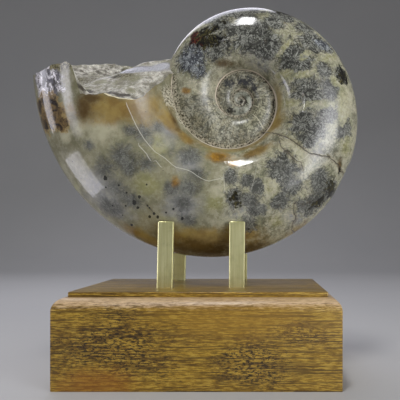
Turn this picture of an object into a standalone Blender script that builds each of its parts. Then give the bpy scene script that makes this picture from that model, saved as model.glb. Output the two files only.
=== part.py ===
"""A polished ammonite held between four flat brass uprights on a moulded wooden plinth.

Metres, +Z up. The front faces -Y, and the origin is the centre of the plinth's underside.
"""

import math

import bmesh
import bpy
import numpy as np

MM = 0.001
FIT_GAP = 0.3 * MM

# Plinth: one block with a routed edge, a low step above a quarter round.
PLINTH_WIDTH = 204.4 * MM
PLINTH_DEPTH = 139.6 * MM
PLINTH_HEIGHT = 68.8 * MM
EDGE_STEP = 3.6 * MM
EDGE_ROUND = 9.2 * MM
ROUND_FACETS = 6
PLINTH_ARRIS = 0.7 * MM
MORTISE_ARRIS = 0.4 * MM

# Uprights: flat bar let into the plinth's top, in a front pair and a back pair.
BAR_WIDTH = 12.0 * MM
BAR_THICKNESS = 5.0 * MM
BAR_RISE = 51.2 * MM
BAR_DEPTH_IN_WOOD = 12.0 * MM
BAR_ARRIS = 0.8 * MM
LEFT_BAR_X = -29.5 * MM
RIGHT_BAR_X = 26.2 * MM
LEFT_BAR_LEAN = math.radians(1.2)
RIGHT_BAR_LEAN = math.radians(0.5)

# Ammonite: one section, which shrinks by a constant ratio in each turn towards the axis.
AXIS_X = 24.8 * MM
MID_PLANE_Y = 10.0 * MM
AXIS_Z = 221.4 * MM
LIP_RADIUS = 166.9 * MM
RADIUS_PER_TURN = 2.806
SEAM_SHARE = 0.31
HALF_WIDTH_SHARE = 0.285
FATTER_INSIDE = 0.15
TURNS = 3
ROWS_PER_TURN = 60
FLANK_COLUMNS = 8
VENTER_COLUMNS = 4
SEAM_STEPS = 200

# The inner turns sit a little off the outer spiral's pole.
INNER_SHIFT_X = 3.0 * MM
INNER_SHIFT_Z = 1.0 * MM
INNER_SHIFT_REACH = 25.0 * MM

# The broken lip, as (section angle in degrees, turns back from the level of the axis). The angle
# runs from the front seam over the front flank and the venter, at 180, to the back seam.
OUTER_BREAK = (
    (13, -0.055),
    (27, -0.028),
    (44, 0.002),
    (57, 0.017),
    (69, 0.017),
    (81, 0.009),
    (104, 0.007),
    (150, -0.008),
    (180, -0.016),
    (215, -0.037),
    (260, -0.060),
    (290, -0.077),
    (347, -0.080),
)
# Where the break crosses the turn inside.
INNER_BREAK = ((129, -0.055), (145, -0.067), (168, -0.090), (180, -0.093), (231, -0.080))
# A spur of the shell wall that still stands above the rest at the tip.
SPUR = ((97, 0.0), (103, -0.030), (130, -0.016), (150, -0.009), (180, -0.005), (230, 0.0))
# How far the rows slide to meet the break, and how deep into the broken face the spur reaches.
BREAK_FADE = 0.13
SPUR_SHARE = 0.2
BREAK_ROWS = 5
# The broken face dips a little, with two waves across it, all in turns.
BREAK_SAG = 0.006
BREAK_WAVE = 0.0022
FINE_WAVE = (23.0, 4.0)
BROAD_WAVE = (11.0, -9.0)

SMOOTH_SHELL = math.radians(35)
SMOOTH_WOOD = math.radians(30)


def seam_angles():
    """Where on its own section a turn ends at the seam, and where the turn inside meets it.

    Both turns have the same distance from the axis and the same half width there, so the two
    angles are found by turns until they settle.
    """
    inner = 0.0
    for _ in range(SEAM_STEPS):
        reach = (1 - SEAM_SHARE) / (1 + math.cos(inner))
        outer = math.acos((1 - reach - SEAM_SHARE * RADIUS_PER_TURN) / reach)
        height = math.sin(outer) * (1 + FATTER_INSIDE * math.cos(outer)) / RADIUS_PER_TURN
        inner = math.asin(height / (1 + FATTER_INSIDE * math.cos(inner)))
    return inner, outer


SEAM_ANGLE, MET_ANGLE = seam_angles()
HALF_HEIGHT_SHARE = (1 - SEAM_SHARE) / (1 + math.cos(SEAM_ANGLE))


def section(angle):
    """The section over the venter's radius: distance from the axis, and distance behind the mid-plane."""
    out = 1 - HALF_HEIGHT_SHARE - HALF_HEIGHT_SHARE * math.cos(angle)
    behind = -HALF_WIDTH_SHARE * math.sin(angle) * (1 + FATTER_INSIDE * math.cos(angle))
    return out, behind


def coil_point(turns_back, out, behind):
    """The point at that section place, after so many turns from the lip towards the middle."""
    radius = LIP_RADIUS * RADIUS_PER_TURN**-turns_back
    heading = math.pi + math.tau * turns_back
    rho = out * radius
    pull = math.exp(-((rho / INNER_SHIFT_REACH) ** 2))
    return (
        AXIS_X + rho * math.cos(heading) + pull * INNER_SHIFT_X,
        MID_PLANE_Y + behind * radius,
        AXIS_Z + rho * math.sin(heading) + pull * INNER_SHIFT_Z,
    )


def read_curve(points, angle):
    degrees, values = zip(*points)
    return float(np.interp(math.degrees(angle), degrees, values))


def outer_break(angle):
    return read_curve(OUTER_BREAK, angle) + read_curve(SPUR, angle)


def inner_break(angle):
    """The break where it crosses the turn inside, which dies away below the seam."""
    from_seam = min(angle, math.tau - angle)
    if from_seam >= MET_ANGLE:
        return read_curve(INNER_BREAK, angle)
    side = MET_ANGLE if angle < math.pi else math.tau - MET_ANGLE
    share = (from_seam - SEAM_ANGLE) / (MET_ANGLE - SEAM_ANGLE)
    return read_curve(INNER_BREAK, side) * share


def moved_to_break(turns_back, angle):
    """Rows near the lip slide along the coil, so that the first one follows the break."""
    at_lip = max(0.0, 1 - turns_back / BREAK_FADE)
    one_turn_in = max(0.0, 1 - abs(turns_back - 1) / BREAK_FADE)
    return turns_back + outer_break(angle) * at_lip + inner_break(angle) * one_turn_in


def column_angles():
    front = np.linspace(SEAM_ANGLE, MET_ANGLE, FLANK_COLUMNS + 1)
    venter = np.linspace(MET_ANGLE, math.tau - MET_ANGLE, 2 * VENTER_COLUMNS + 1)
    back = math.tau - front[::-1]
    return np.concatenate([front, venter[1:-1], back])


def add_whorls(shape, angles):
    """Vertices by (row, column). A seam vertex is shared by the turn outside and the turn inside."""
    last = len(angles) - 1
    inside_columns = list(range(FLANK_COLUMNS + 1)) + list(range(last - FLANK_COLUMNS, last + 1))
    grid = {}
    for row in range(TURNS * ROWS_PER_TURN + 1):
        columns = range(last + 1) if row <= ROWS_PER_TURN else inside_columns
        for column in columns:
            if row >= ROWS_PER_TURN and column in (FLANK_COLUMNS, last - FLANK_COLUMNS):
                seam_column = 0 if column == FLANK_COLUMNS else last
                grid[row, column] = grid[row - ROWS_PER_TURN, seam_column]
                continue
            turns_back = moved_to_break(row / ROWS_PER_TURN, angles[column])
            place = coil_point(turns_back, *section(angles[column]))
            grid[row, column] = shape.verts.new(place)
    for row in range(TURNS * ROWS_PER_TURN):
        for column in range(last):
            inside = FLANK_COLUMNS <= column < last - FLANK_COLUMNS
            if inside and row >= ROWS_PER_TURN:
                continue
            corners = ((row, column), (row + 1, column), (row + 1, column + 1), (row, column + 1))
            shape.faces.new([grid[corner] for corner in corners])
    return grid


def add_hub(shape, grid, side_columns):
    """Closes the middle of the coil on one side with a shallow cone."""
    end = TURNS * ROWS_PER_TURN
    seam, *wall = side_columns
    ring = [grid[row, seam] for row in range(end - ROWS_PER_TURN, end + 1)]
    ring += [grid[end, column] for column in wall[:-1]]
    behind = sum(vertex.co.y for vertex in ring) / len(ring)
    hub = shape.verts.new((AXIS_X + INNER_SHIFT_X, behind, AXIS_Z + INNER_SHIFT_Z))
    for first, second in zip(ring, ring[1:] + ring[:1]):
        shape.faces.new((first, second, hub))


def face_break(share, across, lip_angle, foot_angle):
    """The broken face in turns back, by its share of the way from the lip to the turn inside."""
    level = (1 - share) * read_curve(OUTER_BREAK, lip_angle)
    climb = share**2 * inner_break(foot_angle)
    spur = max(0.0, 1 - share / SPUR_SHARE) * read_curve(SPUR, lip_angle)
    waves = sum(math.sin(a * across + b * share) for a, b in (FINE_WAVE, BROAD_WAVE))
    from_edges = math.sin(math.pi * share) * math.sin(math.pi * across)
    return level + climb + spur + (BREAK_SAG + BREAK_WAVE * waves) * from_edges


def zip_rows(shape, upper, lower):
    """Triangles between two rows of vertices, whatever their counts, stepping evenly along both."""
    a = b = 0
    while a < len(upper) - 1 or b < len(lower) - 1:
        step_upper = (a + 1) / (len(upper) - 1) <= (b + 1) / (len(lower) - 1)
        if step_upper:
            corners = (upper[a], upper[a + 1], lower[b])
            a += 1
        else:
            corners = (upper[a], lower[b + 1], lower[b])
            b += 1
        if len(set(corners)) == 3:
            shape.faces.new(corners)


def add_broken_face(shape, grid, angles):
    """The rough face of the break, from the lip of the last turn down to the turn inside it."""
    last = len(angles) - 1
    lip = [grid[0, column] for column in range(last + 1)]
    foot_columns = range(FLANK_COLUMNS, last - FLANK_COLUMNS + 1)
    foot = [grid[ROWS_PER_TURN, column] for column in foot_columns]
    rows = [lip]
    for step in range(1, BREAK_ROWS):
        share = step / BREAK_ROWS
        row = [lip[0]]
        for column in range(1, last):
            across = column / last
            foot_angle = MET_ANGLE + across * 2 * (math.pi - MET_ANGLE)
            lip_out, lip_behind = section(angles[column])
            foot_out, foot_behind = section(foot_angle)
            out = (1 - share) * lip_out + share * foot_out / RADIUS_PER_TURN
            behind = (1 - share) * lip_behind + share * foot_behind / RADIUS_PER_TURN
            turns_back = face_break(share, across, angles[column], foot_angle)
            row.append(shape.verts.new(coil_point(turns_back, out, behind)))
        rows.append(row + [lip[-1]])
    for upper, lower in zip(rows, rows[1:] + [foot]):
        zip_rows(shape, upper, lower)


def finish_object(name, shape, material, smooth_below=None):
    """Puts a closed shape in the scene with its faces turned out."""
    bmesh.ops.recalc_face_normals(shape, faces=shape.faces)
    mesh = bpy.data.meshes.new(name)
    shape.to_mesh(mesh)
    shape.free()
    if smooth_below is not None:
        mesh.shade_smooth()
        mesh.set_sharp_from_angle(angle=smooth_below)
    mesh.materials.append(material)
    made = bpy.data.objects.new(name, mesh)
    bpy.context.scene.collection.objects.link(made)
    return made


def make_material(name, colour, roughness, metallic=0.0):
    material = bpy.data.materials.new(name)
    material.use_nodes = True
    shader = material.node_tree.nodes["Principled BSDF"]
    shader.inputs["Base Color"].default_value = (*colour, 1.0)
    shader.inputs["Roughness"].default_value = roughness
    shader.inputs["Metallic"].default_value = metallic
    return material


def make_ammonite(material):
    shape = bmesh.new()
    angles = column_angles()
    last = len(angles) - 1
    grid = add_whorls(shape, angles)
    add_broken_face(shape, grid, angles)
    add_hub(shape, grid, range(FLANK_COLUMNS + 1))
    add_hub(shape, grid, range(last, last - FLANK_COLUMNS - 1, -1))
    return finish_object("ammonite", shape, material, smooth_below=SMOOTH_SHELL)


def half_thickness_at(x, z):
    """Half the last turn's thickness on the line through this place along Y."""
    right, up = x - AXIS_X, z - AXIS_Z
    turns_back = (math.atan2(up, right) - math.pi) % math.tau / math.tau
    radius = LIP_RADIUS * RADIUS_PER_TURN**-turns_back
    lean_in = (1 - HALF_HEIGHT_SHARE - math.hypot(right, up) / radius) / HALF_HEIGHT_SHARE
    return abs(section(math.acos(lean_in))[1]) * radius


def bar_place(foot_x, lean, side):
    """Where a bar stands so that its top inner edge just clears the ammonite."""
    top_x = foot_x + BAR_RISE * math.tan(lean)
    top_z = PLINTH_HEIGHT + BAR_RISE
    edges = (top_x - BAR_WIDTH / 2, top_x + BAR_WIDTH / 2)
    thickest = max(half_thickness_at(x, top_z) for x in edges)
    return foot_x, MID_PLANE_Y + side * (thickest + FIT_GAP + BAR_THICKNESS / 2)


def add_block(shape, width, depth, profile, arris):
    """A block of this (height, inset) profile on all sides, with a flat arris on its upright edges."""
    rings = []
    for z, inset in profile:
        x, y = width / 2 - inset, depth / 2 - inset
        outline = (
            (x - arris, -y), (x, arris - y), (x, y - arris), (x - arris, y),
            (arris - x, y), (-x, y - arris), (-x, arris - y), (arris - x, -y),
        )
        rings.append([shape.verts.new((px, py, z)) for px, py in outline])
    for lower, upper in zip(rings, rings[1:]):
        for i in range(len(lower)):
            j = (i + 1) % len(lower)
            shape.faces.new((lower[i], lower[j], upper[j], upper[i]))
    shape.faces.new(rings[0][::-1])
    shape.faces.new(rings[-1])


def make_bar(name, foot_x, lean, side, material):
    shape = bmesh.new()
    profile = ((-BAR_DEPTH_IN_WOOD, 0.0), (BAR_RISE - BAR_ARRIS, 0.0), (BAR_RISE, BAR_ARRIS))
    add_block(shape, BAR_WIDTH, BAR_THICKNESS, profile, BAR_ARRIS)
    bar = finish_object(name, shape, material)
    x, y = bar_place(foot_x, lean, side)
    bar.location = (x, y, PLINTH_HEIGHT)
    bar.rotation_euler = (0.0, lean, 0.0)
    return bar


def plinth_profile():
    """(height, inset) up the side: the bottom arris, the quarter round, the step and the top arris."""
    profile = [(0.0, PLINTH_ARRIS), (PLINTH_ARRIS, 0.0)]
    centre_z = PLINTH_HEIGHT - EDGE_STEP - EDGE_ROUND
    for i in range(ROUND_FACETS + 1):
        turn = math.pi / 2 * i / ROUND_FACETS
        profile.append((centre_z + EDGE_ROUND * math.sin(turn), EDGE_ROUND * (1 - math.cos(turn))))
    profile.append((PLINTH_HEIGHT - PLINTH_ARRIS, EDGE_ROUND))
    profile.append((PLINTH_HEIGHT, EDGE_ROUND + PLINTH_ARRIS))
    return profile


def cut_mortise(plinth, bar):
    """A pocket in the plinth's top for one bar, wider and deeper than it by the fit gap."""
    shape = bmesh.new()
    width = BAR_WIDTH + 2 * FIT_GAP
    depth = BAR_THICKNESS + 2 * FIT_GAP
    profile = ((-BAR_DEPTH_IN_WOOD - FIT_GAP, 0.0), (BAR_RISE, 0.0))
    add_block(shape, width, depth, profile, MORTISE_ARRIS)
    cutter = finish_object("mortise_for_" + bar.name, shape, plinth.data.materials[0])
    cutter.location = bar.location
    cutter.rotation_euler = bar.rotation_euler
    cutter.hide_render = True
    cutter.display_type = "WIRE"
    mortise = plinth.modifiers.new(cutter.name, "BOOLEAN")
    mortise.operation = "DIFFERENCE"
    mortise.object = cutter


def make_plinth(material, bars):
    shape = bmesh.new()
    add_block(shape, PLINTH_WIDTH, PLINTH_DEPTH, plinth_profile(), PLINTH_ARRIS)
    plinth = finish_object("plinth", shape, material, smooth_below=SMOOTH_WOOD)
    for bar in bars:
        cut_mortise(plinth, bar)
    return plinth


def main():
    for leftover in list(bpy.data.objects):
        bpy.data.objects.remove(leftover, do_unlink=True)
    fossil = make_material("polished_fossil", (0.33, 0.33, 0.24), 0.12)
    brass = make_material("brushed_brass", (0.62, 0.59, 0.38), 0.32, metallic=1.0)
    oak = make_material("varnished_wood", (0.42, 0.25, 0.08), 0.35)
    bars = []
    for side_name, side in (("front", -1), ("back", 1)):
        left = "prong_" + side_name + "_left"
        right = "prong_" + side_name + "_right"
        bars.append(make_bar(left, LEFT_BAR_X, LEFT_BAR_LEAN, side, brass))
        bars.append(make_bar(right, RIGHT_BAR_X, RIGHT_BAR_LEAN, side, brass))
    make_plinth(oak, bars)
    make_ammonite(fossil)


main()
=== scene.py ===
# %% [markdown]
# # A polished ammonite on a brass and wood stand
#
# An ammonite is the coiled shell of an extinct sea animal, here turned to calcite and polished. It stands
# on edge between four flat brass bars, which are let into one block of wood. The lesson starts from the
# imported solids, keeps their frame and sizes, and gives every piece its fine form and finish. Lengths are
# metres, +Z is up, the viewer is on the -Y side.

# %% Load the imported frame
import itertools
import math
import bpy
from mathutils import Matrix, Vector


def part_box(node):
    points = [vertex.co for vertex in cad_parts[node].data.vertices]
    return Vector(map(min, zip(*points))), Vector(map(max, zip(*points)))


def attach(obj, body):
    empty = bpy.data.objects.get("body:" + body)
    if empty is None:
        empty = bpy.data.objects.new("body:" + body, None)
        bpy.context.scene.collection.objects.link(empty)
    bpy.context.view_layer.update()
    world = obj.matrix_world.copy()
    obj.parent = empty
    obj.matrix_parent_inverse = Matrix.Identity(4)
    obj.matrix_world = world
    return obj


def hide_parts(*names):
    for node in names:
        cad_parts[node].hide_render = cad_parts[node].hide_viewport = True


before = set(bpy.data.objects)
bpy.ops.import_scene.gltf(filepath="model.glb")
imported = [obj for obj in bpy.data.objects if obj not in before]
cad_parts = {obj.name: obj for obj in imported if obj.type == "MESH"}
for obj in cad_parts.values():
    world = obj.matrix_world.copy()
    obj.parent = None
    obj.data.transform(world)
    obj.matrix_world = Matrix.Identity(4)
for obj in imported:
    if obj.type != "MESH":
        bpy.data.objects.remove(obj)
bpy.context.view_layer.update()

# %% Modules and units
from types import SimpleNamespace

import bmesh
import bpy
import numpy as np

MM = 0.001
TURN = 2 * np.pi
print("nodes:", ", ".join(sorted(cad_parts)))

# %% [markdown]
# ## The camera
#
# The photograph was taken level, a little to the right of the plinth's middle and about 1.5 times the
# plinth's height above its underside. A level camera keeps the uprights upright, and its shift frames the
# object without tilting it.

# %% Place the camera
EYE = (45.8 * MM, -456.8 * MM, 109.1 * MM)
camera_data = bpy.data.cameras.new("camera")
camera_data.lens = 50.0
camera_data.sensor_width = 36.0
camera_data.sensor_fit = "HORIZONTAL"
camera_data.shift_x = -0.155
camera_data.shift_y = 0.08875
camera = bpy.data.objects.new("camera", camera_data)
camera.location = EYE
camera.rotation_euler = (math.pi / 2, 0.0, 0.0)
bpy.context.scene.collection.objects.link(camera)
bpy.context.scene.camera = camera
bpy.context.scene.view_settings.view_transform = "Standard"
print("camera at", [round(value / MM) for value in EYE], "mm")

# %% [markdown]
# ## Tools for surfaces
#
# Every new piece is a surface worked out with whole numpy arrays. Some helpers come back again and again:
# steps crowded where small features need points, smooth random unevenness, the quads of a grid, and one
# that puts finished arrays into a mesh.


# %% Helpers for surfaces
def uneven_steps(start, end, count, crowded):
    """count + 1 values from start to end, closer together near each (place, reach, how much)."""
    fine = np.linspace(start, end, 4001)
    density = np.ones_like(fine)
    for place, reach, more in crowded:
        density += more * np.exp(-(((fine - place) / reach) ** 2))
    share = np.concatenate([[0.0], np.cumsum((density[1:] + density[:-1]) / 2)])
    return np.interp(np.linspace(0, 1, count + 1), share / share[-1], fine)


def smooth_step(low, high, value):
    """0 below low, 1 above high, and 3t^2 - 2t^3 between them."""
    t = np.clip((value - low) / (high - low), 0, 1)
    return t * t * (3 - 2 * t)


def unevenness(points, size, seed):
    """Smooth noise from -1 to 1: random numbers on a cubic lattice of this size, blended between
    the eight corners of each cell by the smooth step along each axis."""
    lattice = np.random.default_rng(seed).uniform(-1, 1, (32, 32, 32))
    cell = np.asarray(points) / size
    low = np.floor(cell).astype(int)
    share = smooth_step(0, 1, cell - low)
    total = np.zeros(cell.shape[:-1])
    for corner in itertools.product((0, 1), repeat=3):
        at = (low + corner) % 32
        weight = np.prod(np.where(corner, share, 1 - share), axis=-1)
        total += weight * lattice[at[..., 0], at[..., 1], at[..., 2]]
    return total


def grid_faces(rows, columns, closed=False):
    """Quads between the points of a grid. A closed one joins its last column to its first and has
    a cap at each end."""
    row, column = np.meshgrid(np.arange(rows - 1), np.arange(columns if closed else columns - 1),
                              indexing="ij")
    here, beside = row * columns + column, row * columns + (column + 1) % columns
    faces = np.stack([here, beside, beside + columns, here + columns], axis=-1).reshape(-1, 4).tolist()
    if closed:
        first, final = list(range(columns)), list(range((rows - 1) * columns, rows * columns))
        faces += [first[::-1], final]
    return faces


def make_object(name, points, faces, materials):
    """Puts finished arrays into a mesh and shows it in the scene."""
    mesh = bpy.data.meshes.new(name)
    mesh.from_pydata(points.tolist(), [], faces)
    for material in materials:
        mesh.materials.append(material)
    mesh.shade_smooth()
    made = bpy.data.objects.new(name, mesh)
    bpy.context.scene.collection.objects.link(made)
    return made


def make_piece(name, points, faces, materials, replaced, sharp_above=None):
    """An object of the real thing: it rides on the root body and stands for one solid."""
    piece = make_object(name, points, faces, materials)
    if sharp_above is not None:
        piece.data.set_sharp_from_angle(angle=math.radians(sharp_above))
    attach(piece, "root")
    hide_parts(replaced)
    size = (points.max(axis=0) - points.min(axis=0)) / MM
    print(name, len(points), "points,", len(faces), "faces,", np.round(size, 1), "mm")
    return piece


# %% [markdown]
# ## The coil
#
# The shell grew by the same ratio in every turn, so one cross section, shrunk by a constant factor per
# turn, gives the whole spiral. A point is named by two numbers: how many turns it lies back from the
# opening, and its angle on the section, from the front seam over the front flank and the outer edge to the
# back seam. Turns share their points along the seams, so the shell is closed.

# %% Measures of the coil
AXIS_X, MID_Y, AXIS_Z = 24.8 * MM, 10.0 * MM, 221.4 * MM
LIP_RADIUS = 166.9 * MM
RADIUS_PER_TURN = 2.806
SEAM_SHARE = 0.31
HALF_WIDTH = 0.285
FATTER_INSIDE = 0.15
INNER_SHIFT = np.array([3.0, 0.0, 1.0]) * MM
INNER_REACH = 25.0 * MM
TURNS = 4
ROWS = 200
FLANK = 40
VENTER = 40
NICK_TURN = 0.407
NICK_DEEP, FLAT_DEEP = 2.4, 1.3


def seam_angles():
    """Where a turn ends at the seam, and where on the turn inside that is: both have the same
    distance from the axis and the same half width."""
    inner = 0.0
    for _ in range(200):
        reach = (1 - SEAM_SHARE) / (1 + math.cos(inner))
        outer = math.acos((1 - reach - SEAM_SHARE * RADIUS_PER_TURN) / reach)
        height = math.sin(outer) * (1 + FATTER_INSIDE * math.cos(outer)) / RADIUS_PER_TURN
        inner = math.asin(height / (1 + FATTER_INSIDE * math.cos(inner)))
    return inner, outer


SEAM, MET = seam_angles()
HALF_HEIGHT = (1 - SEAM_SHARE) / (1 + math.cos(SEAM))
print("seam at", round(math.degrees(SEAM), 1), "and", round(math.degrees(MET), 1), "degrees")


def section(angle):
    """Distance out and distance behind over the radius: an ellipse that is fatter inside."""
    out = 1 - HALF_HEIGHT - HALF_HEIGHT * np.cos(angle)
    behind = -HALF_WIDTH * np.sin(angle) * (1 + FATTER_INSIDE * np.cos(angle))
    return out, behind


def coil(turns, out, behind):
    """The radius shrinks by the same factor each turn while the heading goes round once. The
    middle of the coil sits a little off the pole of the outer spiral."""
    radius = LIP_RADIUS * RADIUS_PER_TURN**-turns
    heading = np.pi + TURN * turns
    rho = out * radius
    place = np.stack([rho * np.cos(heading), behind * radius, rho * np.sin(heading)], axis=-1)
    pull = np.exp(-((rho / INNER_REACH) ** 2))
    return place + (AXIS_X, MID_Y, AXIS_Z) + pull[..., None] * INNER_SHIFT


# %% [markdown]
# ## The broken opening
#
# The living chamber broke off along a rough line. The rows of points near the opening slide along the coil
# until the first row follows that line. A spur of shell at the front still stands above the rest: the
# bright tip at the left. The line crosses the turn inside as well, because that is where the broken face
# ends.

# %% The line of the break, as (section angle in degrees, turns back)
BREAK_LINE = (
    (13, -0.060), (20, -0.050), (27, -0.028), (35, -0.015), (44, 0.001), (51, 0.013), (57, 0.0172),
    (64, 0.0176), (75, 0.013), (81, 0.0089), (94, 0.0072), (104, 0.007), (137, -0.0045),
    (153, -0.0086), (170, -0.0125), (180, -0.0165), (190, -0.0215), (200, -0.028), (215, -0.0389),
    (230, -0.0436), (245, -0.0502), (260, -0.0598), (275, -0.0675), (290, -0.0773), (347, -0.080),
)
SPUR_LINE = (
    (99, 0), (100.5, -0.015), (103, -0.0296), (107, -0.0300), (114, -0.0258), (125, -0.0200),
    (137, -0.0135), (153, -0.0080), (170, -0.0055), (200, -0.002), (230, 0),
)
INNER_LINE = ((129, -0.060), (145, -0.067), (168, -0.090), (180, -0.093), (231, -0.080))
BREAK_FADE = 0.13
SPUR_SHARE = 0.16
BREAK_ROWS = 26


def read_line(line, angle):
    degrees, values = zip(*line)
    return np.interp(np.degrees(angle), degrees, values)


def chips(angle):
    """Small unevenness of the broken edge, in turns."""
    ring = np.stack([angle * 4.0, angle * 0.0, angle * 0.0], axis=-1)
    return 0.0011 * unevenness(ring, 0.30, 5) + 0.0007 * unevenness(ring, 0.12, 6)


def slide_to_break(turns, angle):
    """Moves rows along the coil, by the break's line at the opening, fading to nothing inside."""
    lip = read_line(BREAK_LINE, angle) + read_line(SPUR_LINE, angle) + chips(angle)
    from_seam = np.minimum(angle, TURN - angle)
    at_seam = np.where(angle < np.pi, MET, TURN - MET)
    below_seam = read_line(INNER_LINE, at_seam) * (from_seam - SEAM) / (MET - SEAM)
    inner = np.where(from_seam >= MET, read_line(INNER_LINE, angle), below_seam)
    at_lip = np.clip(1 - turns / BREAK_FADE, 0, None)
    one_turn_in = np.clip(1 - np.abs(turns - 1) / BREAK_FADE, 0, None)
    return turns + lip * at_lip + inner * one_turn_in


# %% The grid of the whorls
flank = uneven_steps(SEAM, MET, FLANK, ((math.radians(100.5), math.radians(4), 3.0),))
venter = np.linspace(MET, TURN - MET, VENTER + 1)
angles = np.concatenate([flank, venter[1:-1], TURN - flank[::-1]])
last = len(angles) - 1
one_turn = uneven_steps(0, 1, ROWS, ((0, 0.03, 2.5), (1, 0.03, 2.5), (NICK_TURN, 0.012, 2.5)))
turns = np.concatenate([one_turn[:-1] + k for k in range(TURNS)] + [[float(TURNS)]])
rows = len(turns) - 1

# The turns inside have points only on their flanks, and at a seam they use those of the turn outside.
index = np.full((rows + 1, last + 1), -1)
index[: ROWS + 1] = np.arange((ROWS + 1) * (last + 1)).reshape(ROWS + 1, last + 1)
sides = np.r_[0:FLANK, last - FLANK + 1 : last + 1]
inner_count = (rows - ROWS) * sides.size
first_inner = (ROWS + 1) * (last + 1)
index[ROWS + 1 :, sides] = first_inner + np.arange(inner_count).reshape(rows - ROWS, -1)
for k in range(1, TURNS):
    here = slice(k * ROWS, (k + 1) * ROWS + 1)
    outside = slice((k - 1) * ROWS, k * ROWS + 1)
    index[here, FLANK] = index[outside, 0]
    index[here, last - FLANK] = index[outside, last]

grid_turns, grid_angles = np.meshgrid(turns, angles, indexing="ij")
slid = slide_to_break(grid_turns, grid_angles)
grid = np.dstack([coil(slid, *section(grid_angles)), slid, grid_angles])
shared = np.zeros(index.shape, bool)
shared[ROWS:, [FLANK, last - FLANK]] = True
used = index >= 0
count = index.max() + 1
values = np.zeros((count, 5))
for group in (used & shared, used & ~shared):
    values[index[group]] = grid[group]
points, point_turns, point_angles = values[:, :3], values[:, 3], values[:, 4]

row, column = np.meshgrid(np.arange(rows), np.arange(last), indexing="ij")
wanted = ~((column >= FLANK) & (column < last - FLANK) & (row >= ROWS))
row, column = row[wanted], column[wanted]
corner_rows = np.stack([row, row + 1, row + 1, row], axis=1)
corner_columns = np.stack([column, column, column + 1, column + 1], axis=1)
whorl_faces = index[corner_rows, corner_columns]
whorl_uv = (grid[..., 3:] / (1.0, TURN))[corner_rows, corner_columns]
print("whorls:", len(whorl_faces), "quads")

# %% [markdown]
# ## The rough face of the break
#
# The broken face is ruled: each of its rows lies between the broken edge and the turn inside. It sags a
# little in the middle, is lumpy at three sizes, and its spur dies away quickly, so the tip keeps a steep
# side.

# %% Rows of the broken face
share = np.linspace(0, 1, BREAK_ROWS + 1)[1:-1, None]
across = (np.arange(1, last) / last)[None, :]
lip_angle = angles[None, 1:last]
foot_angle = MET + across * 2 * (np.pi - MET)
face_section = [(1 - share) * lip + share * foot / RADIUS_PER_TURN
                for lip, foot in zip(section(lip_angle), section(foot_angle))]
level = (1 - share) * read_line(BREAK_LINE, lip_angle) + share**2 * read_line(INNER_LINE, foot_angle)
level = level + np.clip(1 - share / SPUR_SHARE, 0, 1) ** 1.5 * read_line(SPUR_LINE, lip_angle)
level = level + (1 - share) ** 6 * chips(lip_angle)
face_points = coil(level, *face_section)
free = np.minimum(1, 6 * share * (1 - share)) * np.minimum(1, 12 * across * (1 - across))
lumps = 1.5 * unevenness(face_points, 13 * MM, 11) + 0.8 * unevenness(face_points, 5.5 * MM, 12)
lumps = lumps + 0.45 * unevenness(face_points, 2.6 * MM, 13)
reach_out = np.hypot(face_points[..., 0] - AXIS_X, face_points[..., 2] - AXIS_Z)
level = level + 0.006 * np.sin(np.pi * share) * np.sin(np.pi * across)
level = level + free * lumps * MM / (TURN * reach_out)
face_points = coil(level, *face_section)
first_face = count
face_index = first_face + np.arange(face_points[..., 0].size).reshape(face_points.shape[:2])
print("broken face:", face_index.shape, "points")


def stitch(upper, lower):
    """Triangles between two rows: the steps of both rows, as shares of their lengths, are merged
    in order, and each step makes one triangle with the other row's current point."""
    steps = np.concatenate([np.arange(1, len(row)) / (len(row) - 1) for row in (upper, lower)])
    is_lower = np.argsort(steps, kind="stable") >= len(upper) - 1
    a = np.cumsum(~is_lower) - ~is_lower
    b = np.cumsum(is_lower) - is_lower
    third = np.where(is_lower, lower[np.minimum(b + 1, len(lower) - 1)],
                     upper[np.minimum(a + 1, len(upper) - 1)])
    faces = np.stack([upper[a], third, lower[b]], axis=1)
    whole = (faces[:, 0] != faces[:, 1]) & (faces[:, 1] != faces[:, 2]) & (faces[:, 0] != faces[:, 2])
    return faces[whole]


lip_row = index[0]
foot_row = index[ROWS, FLANK : last - FLANK + 1]
all_rows = [lip_row, *(np.array([lip_row[0], *row, lip_row[-1]]) for row in face_index), foot_row]
break_faces = np.vstack([stitch(a, b) for a, b in zip(all_rows, all_rows[1:])])
points = np.vstack([points, face_points.reshape(-1, 3)])
point_turns = np.concatenate([point_turns, level.ravel()])
point_angles = np.concatenate([point_angles, np.broadcast_to(lip_angle, level.shape).ravel()])
point_share = np.zeros(len(points))
point_share[first_face:] = np.broadcast_to(share, level.shape).ravel()
point_share[foot_row] = np.where(foot_row == lip_row[0], 0, 1)
print("broken face:", len(break_faces), "triangles")

# %% Close the middle of the coil on both sides
# The last whole turn of the seam and the end row make a ring, and a fan joins it to its mean point.
hub_faces = []
for side, wall in ((0, np.arange(1, FLANK)), (last, np.arange(last - 1, last - FLANK, -1))):
    ring = np.concatenate([index[rows - ROWS : rows + 1, side], index[rows, wall]])
    hub_faces.append(np.stack([ring, np.roll(ring, -1), np.full(len(ring), len(points))], axis=1))
    points = np.vstack([points, points[ring].mean(axis=0)])
    point_turns = np.append(point_turns, TURNS)
    point_angles = np.append(point_angles, point_angles[ring].mean())
    point_share = np.append(point_share, 0.0)
hub_faces = np.vstack(hub_faces)

# %% [markdown]
# ## Hand polishing, chips and the nick
#
# A hand held against a polishing wheel never makes a perfect spiral, so the flanks wander by a tenth of a
# millimetre, which bends the reflections. On the right a piece has chipped out of the outer edge beside a
# crack, and below it the edge is a little flat.


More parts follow.
